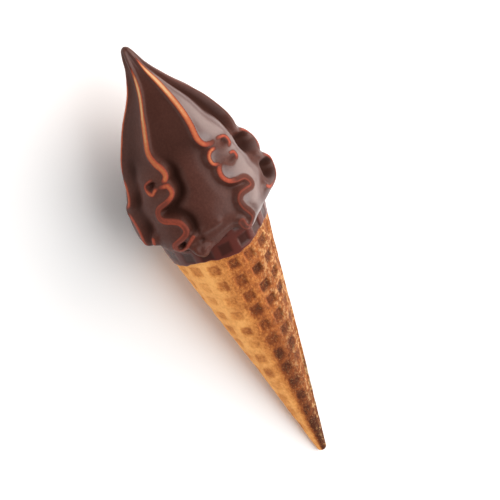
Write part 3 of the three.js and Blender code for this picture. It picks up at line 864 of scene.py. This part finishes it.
class Finish:
    """A material and the one way its nodes are made."""

    def __init__(self, name):
        self.material = bpy.data.materials.new(name)
        self.material.use_nodes = True
        self.tree = self.material.node_tree
        self.shader = self.tree.nodes["Principled BSDF"]

    def node(self, kind, settings, sockets, output=0):
        made = self.tree.nodes.new(kind)
        for name, value in settings.items():
            if name == "stops":
                self.set_stops(made.color_ramp, value)
            else:
                setattr(made, name, value)
        for name, value in sockets.items():
            self.feed(made.inputs[name], value)
        return Wire(self, made.outputs[output])

    def feed(self, socket, value):
        if isinstance(value, Wire):
            self.tree.links.new(value.socket, socket)
        elif isinstance(value, tuple) and len(value) == 3 and socket.type == "RGBA":
            socket.default_value = (*value, 1)
        else:
            socket.default_value = value

    def set_stops(self, ramp, stops):
        while len(ramp.elements) < len(stops):
            ramp.elements.new(0.5)
        for element, (place, colour) in zip(ramp.elements, stops):
            element.position = place
            element.color = (*colour, 1)

    def set(self, **values):
        for name, value in values.items():
            self.feed(self.shader.inputs[name.replace("_", " ")], value)

    def value(self, name):
        return self.node("ShaderNodeAttribute", {"attribute_name": name}, {}, "Fac")

    def place(self, stretch=(1, 1, 1)):
        where = self.node("ShaderNodeTexCoord", {}, {}, "Object")
        return self.node("ShaderNodeMapping", {}, {"Vector": where, "Scale": stretch})

    def noise(self, where, size, detail, roughness=0.55):
        """Noise from 0 to 1 with bumps of that size in millimetres."""
        sockets = {"Vector": where, "Scale": 1 / (size * MM), "Detail": detail,
                   "Roughness": roughness}
        return self.node("ShaderNodeTexNoise", {}, sockets, "Fac")

    def cells(self, where, size):
        """Distance from scattered points that lie about that many millimetres apart."""
        sockets = {"Vector": where, "Scale": 1 / (size * MM)}
        return self.node("ShaderNodeTexVoronoi", {}, sockets, "Distance")

    def ease(self, value, low, high):
        sockets = {"Value": value, "From Min": low, "From Max": high}
        return self.node("ShaderNodeMapRange", {"interpolation_type": "SMOOTHSTEP"}, sockets)

    def ramp(self, value, stops):
        return self.node("ShaderNodeValToRGB", {"stops": stops}, {"Fac": value})

    def mix(self, amount, first, second, blend="MIX"):
        settings = {"data_type": "RGBA", "blend_type": blend}
        return self.node("ShaderNodeMix", settings, {0: amount, 6: first, 7: second}, 2)

    def bump(self, height, distance, strength, over=None):
        sockets = {"Height": height, "Distance": distance * MM, "Strength": strength}
        if over is not None:
            sockets["Normal"] = over
        return self.node("ShaderNodeBump", {}, sockets, "Normal")


SKIN_TONES = (tone(71, 36, 28), tone(78, 41, 32))
GRAIN_TONE = tone(96, 56, 46)
# Painted shade: the dark colour given to hollows where the chocolate pools
POOL_SHADE_TONE = tone(36, 15, 8)
THIN_TONES = [(0, tone(74, 37, 28)), (0.3, tone(116, 56, 44)), (0.5, tone(158, 70, 49)),
              (0.75, tone(184, 107, 67)), (1, tone(202, 162, 116))]
COLLAR_TONES = (tone(82, 33, 25), tone(54, 17, 8))
COLLAR_END_TONE = tone(98, 42, 38)


def chocolate():
    """Satin dark chocolate, thin and orange on the crests, duller where it pools and darker
    there with painted shade, redder and glossier on the wafer."""
    f = Finish("dark_chocolate")
    where = f.place()
    cloud = f.noise(where, 14, 2)
    grain = f.noise(where, 0.9, 3)
    thin = f.value("thin")
    collar = f.value("collar")
    skin = f.mix(f.ease(cloud, 0.3, 0.7), *SKIN_TONES)
    skin = f.mix(f.ease(grain, 0.35, 0.7) * 0.3, skin, GRAIN_TONE)
    pool = f.value("pool")
    # Painted shade darkens the skin in the hollows where the chocolate pools
    skin = f.mix(pool * 0.85, skin, POOL_SHADE_TONE)
    patchy = thin + (grain - 0.5) * 0.25 * f.ease(thin, 0, 0.5)
    colour = f.mix(f.ease(thin, 0.02, 0.28), skin, f.ramp(patchy, THIN_TONES))
    wrap = f.mix(f.value("cell"), *COLLAR_TONES)
    wrap = f.mix(f.value("end") * 0.6, wrap, COLLAR_END_TONE)
    colour = f.mix(collar, colour, wrap)
    dimples = f.bump(f.noise(where, 2.2, 2), 0.1, 0.5)
    pits = f.bump(grain, 0.045, 0.8, over=dimples)
    dull = 0.5 + (f.noise(where, 5, 2) - 0.5) * 0.15 - collar * 0.2 + pool * 0.35
    f.set(Base_Color=colour, Roughness=dull, Normal=pits)
    f.set(IOR=1.45, Specular_IOR_Level=0.16, Specular_Tint=(1, 0.85, 0.78))
    dry = f.ease(thin, 0.15, 0.03)
    f.set(Coat_Weight=f.value("gloss") * dry, Coat_Roughness=0.3, Coat_IOR=1.75)
    return f.material


BAKED_TONES = [(0, tone(248, 180, 104)), (0.25, tone(216, 142, 74)), (0.5, tone(164, 93, 44)),
               (0.75, tone(122, 62, 28)), (1, tone(78, 36, 15))]
PORE_TONE = tone(104, 58, 28)
# Pale flecks, and the painted highlight on the ridges of the viewer's right side
FLECK_AND_HIGHLIGHT_TONE = tone(232, 188, 128)

# What the front and the viewer's right side multiply the baked colours by
FRONT_SHADE = (0.86, 0.8, 0.72)
RIGHT_SHADE = (0.8, 0.88, 0.9)


def waffle_crust():
    """Baked wafer: golden on one side and toasted along the front, with darker pocket floors,
    pores, a fibrous skin and pale flecks. The golden left side is partly painted light, and
    the cream on the ridges of the viewer's right side is a painted highlight."""
    f = Finish("baked_wafer")
    where = f.place()
    fibre = f.noise(f.place((0.7, 1, 1)), 1.1, 6, 0.72)
    blotch = f.noise(where, 7, 3)
    speck = f.noise(where, 0.6, 4, 0.7)
    ragged = f.noise(where, 1.8, 4, 0.65)
    pocket = f.ease(f.value("pocket") + (ragged - 0.5) * 0.8, 0.05, 0.95)
    height = f.value("height")
    turn = f.value("turn")
    # All but the viewer's left is more toasted; the left's paler colour is partly the wafer's own
    # bake and partly painted light
    front = f.ease(turn, -0.2, 0.04)
    right = f.ease(turn, 0.05, 0.3)
    low = f.ease(height, 0.72, 0.42)
    stripe = f.ease(turn, -0.1, 0.03) * f.ease(turn, 0.34, 0.14)
    bake = 0.08 + front * 0.4 + right * 0.08 + pocket * (0.22 + front * 0.06 - right * low * 0.16)
    bake = bake + f.value("toast") * 0.12 + stripe * low * (0.2 - pocket * 0.02)
    bake = bake + f.ease(height, 0.3, 0.06) * (0.06 + front * 0.28)
    bake = bake + f.value("edge") * f.ease(ragged, 0.42, 0.56) * f.ease(height, 0.45, 0.36) * 0.5
    bake = bake + (blotch - 0.5) * 0.5 + (fibre - 0.5) * (0.7 + front * 0.4)
    crust = f.mix(front, f.ramp(bake, BAKED_TONES), FRONT_SHADE, "MULTIPLY")
    crust = f.mix(right * 0.8, crust, RIGHT_SHADE, "MULTIPLY")
    pores = f.ease(f.cells(where, 1.7), 0.16, 0.05) * f.ease(speck, 0.45, 0.6)
    colour = f.mix(pores * 0.6, crust, PORE_TONE)
    # Painted highlight: pale cream on the ridges of the lit right side
    ridge_highlight = f.ease(ragged, 0.48, 0.62) * right * (1 - pocket)
    flecks_and_highlight = f.ease(speck, 0.55, 0.68) * 0.25 + ridge_highlight * 0.45
    colour = f.mix(flecks_and_highlight, colour, FLECK_AND_HIGHLIGHT_TONE)
    coarse = f.bump(f.noise(where, 2.6, 4, 0.6), 0.45, 0.7)
    fuzz = f.bump(fibre + speck * 0.5 - pores * 0.8, 0.2, 0.8, over=coarse)
    f.set(Base_Color=colour, Roughness=0.78 + (speck - 0.5) * 0.2, Normal=fuzz)
    f.set(Specular_IOR_Level=0.2)
    return f.material


FLOOR_SHADES = ((0.93, 0.93, 0.93), (0.9, 0.9, 0.9))


def pale_floor():
    f = Finish("pale_floor")
    cloud = f.noise(f.place(), 60, 2)
    f.set(Base_Color=f.mix(cloud * 0.2, *FLOOR_SHADES), Roughness=0.7)
    return f.material


# Stage, light and camera

FOCAL = 100
SENSOR = 36
CAMERA_TILT = 24
CAMERA_ROLL = 25.43
MM_PER_PIXEL = 0.42
IMAGE_SIZE = 500
AIM_HEIGHT = 102.667
AIM_PIXEL = (232.3, 261.3)

# Glow and colour of the lights
KEY_GLOW = 3.6
KEY_COLOUR = (1, 0.88, 0.82)
FILL_GLOW = 1.2
FILL_COLOUR = (1, 0.9, 0.82)
TOP_GLOW = 2.6
STUDIO_GLOW = 0.48

# Half the floor's width, in metres
FLOOR_HALF = 2.5


def view_axes():
    """The camera's right, up and back directions, and its point on the axis, which shows at
    AIM_PIXEL."""
    facing, right, along = lying_axes()
    tilt = math.radians(CAMERA_TILT)
    roll = math.radians(CAMERA_ROLL)
    back = facing * math.cos(tilt) + along * math.sin(tilt)
    rise = along * math.cos(tilt) - facing * math.sin(tilt)
    up = rise * math.cos(roll) + right * math.sin(roll)
    across = right * math.cos(roll) - rise * math.sin(roll)
    aim = TIP_PLACE + along * AIM_HEIGHT
    return across, up, back, aim


def set_camera():
    across, up, back, aim = view_axes()
    focal_pixels = FOCAL / SENSOR * IMAGE_SIZE
    distance = MM_PER_PIXEL * focal_pixels
    off_x = (AIM_PIXEL[0] - IMAGE_SIZE / 2) / focal_pixels * distance
    off_y = (IMAGE_SIZE / 2 - AIM_PIXEL[1]) / focal_pixels * distance
    place = aim + back * distance - across * off_x - up * off_y
    lens = bpy.data.cameras.new("camera")
    lens.lens = FOCAL
    lens.sensor_width = SENSOR
    lens.sensor_fit = "HORIZONTAL"
    camera = bpy.data.objects.new("camera", lens)
    bpy.context.scene.collection.objects.link(camera)
    turned = Matrix((across, up, back)).transposed().to_4x4()
    camera.matrix_world = Matrix.Translation(place * MM) @ turned
    bpy.context.scene.camera = camera


def set_softbox(name, direction, distance, size, glow, colour=(1, 1, 1)):
    """A soft light of that glow that looks at the camera's point on the axis from a direction.
    The first of its two sizes lies along the cone."""
    _, _, along = lying_axes()
    aim = view_axes()[3]
    away = direction.normalized()
    long_way = (along - away * along.dot(away)).normalized()
    lamp = bpy.data.lights.new(name, "AREA")
    lamp.shape = "RECTANGLE"
    lamp.size = size[0] * MM
    lamp.size_y = size[1] * MM
    lamp.energy = glow * math.pi * lamp.size * lamp.size_y
    lamp.color = colour
    light = bpy.data.objects.new(name, lamp)
    bpy.context.scene.collection.objects.link(light)
    turned = Matrix((long_way, away.cross(long_way), away)).transposed().to_4x4()
    light.matrix_world = Matrix.Translation((aim + away * distance) * MM) @ turned


def set_light():
    across, up, back, _ = view_axes()
    facing, right, along = lying_axes()
    set_softbox("key", right + facing * 0.09 + along * 0.1, 600, (1200, 420), KEY_GLOW,
                KEY_COLOUR)
    set_softbox("fill", across * -0.9 - up * 0.1 + back * 0.7, 700, (500, 500), FILL_GLOW,
                FILL_COLOUR)
    set_softbox("top", Vector((0, 0, 1)) + across * 0.5, 800, (900, 700), TOP_GLOW)
    world = bpy.data.worlds.new("studio")
    world.use_nodes = True
    background = world.node_tree.nodes["Background"].inputs
    background["Color"].default_value = (1, 1, 1, 1)
    background["Strength"].default_value = STUDIO_GLOW
    bpy.context.scene.world = world
    bpy.context.scene.view_settings.view_transform = "Standard"


def set_floor():
    bm = bmesh.new()
    bmesh.ops.create_grid(bm, x_segments=1, y_segments=1, size=FLOOR_HALF)
    mesh = bpy.data.meshes.new("floor")
    bm.to_mesh(mesh)
    bm.free()
    floor = bpy.data.objects.new("floor", mesh)
    bpy.context.scene.collection.objects.link(floor)
    mesh.materials.append(pale_floor())


set_camera()
set_light()
set_floor()

wafer = make_wafer()
wafer.data.materials.append(waffle_crust())
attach(wafer, "root")
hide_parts("wafer_cone")

swirl = make_swirl()
swirl.data.materials.append(chocolate())
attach(swirl, "root")
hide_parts("dipped_swirl")
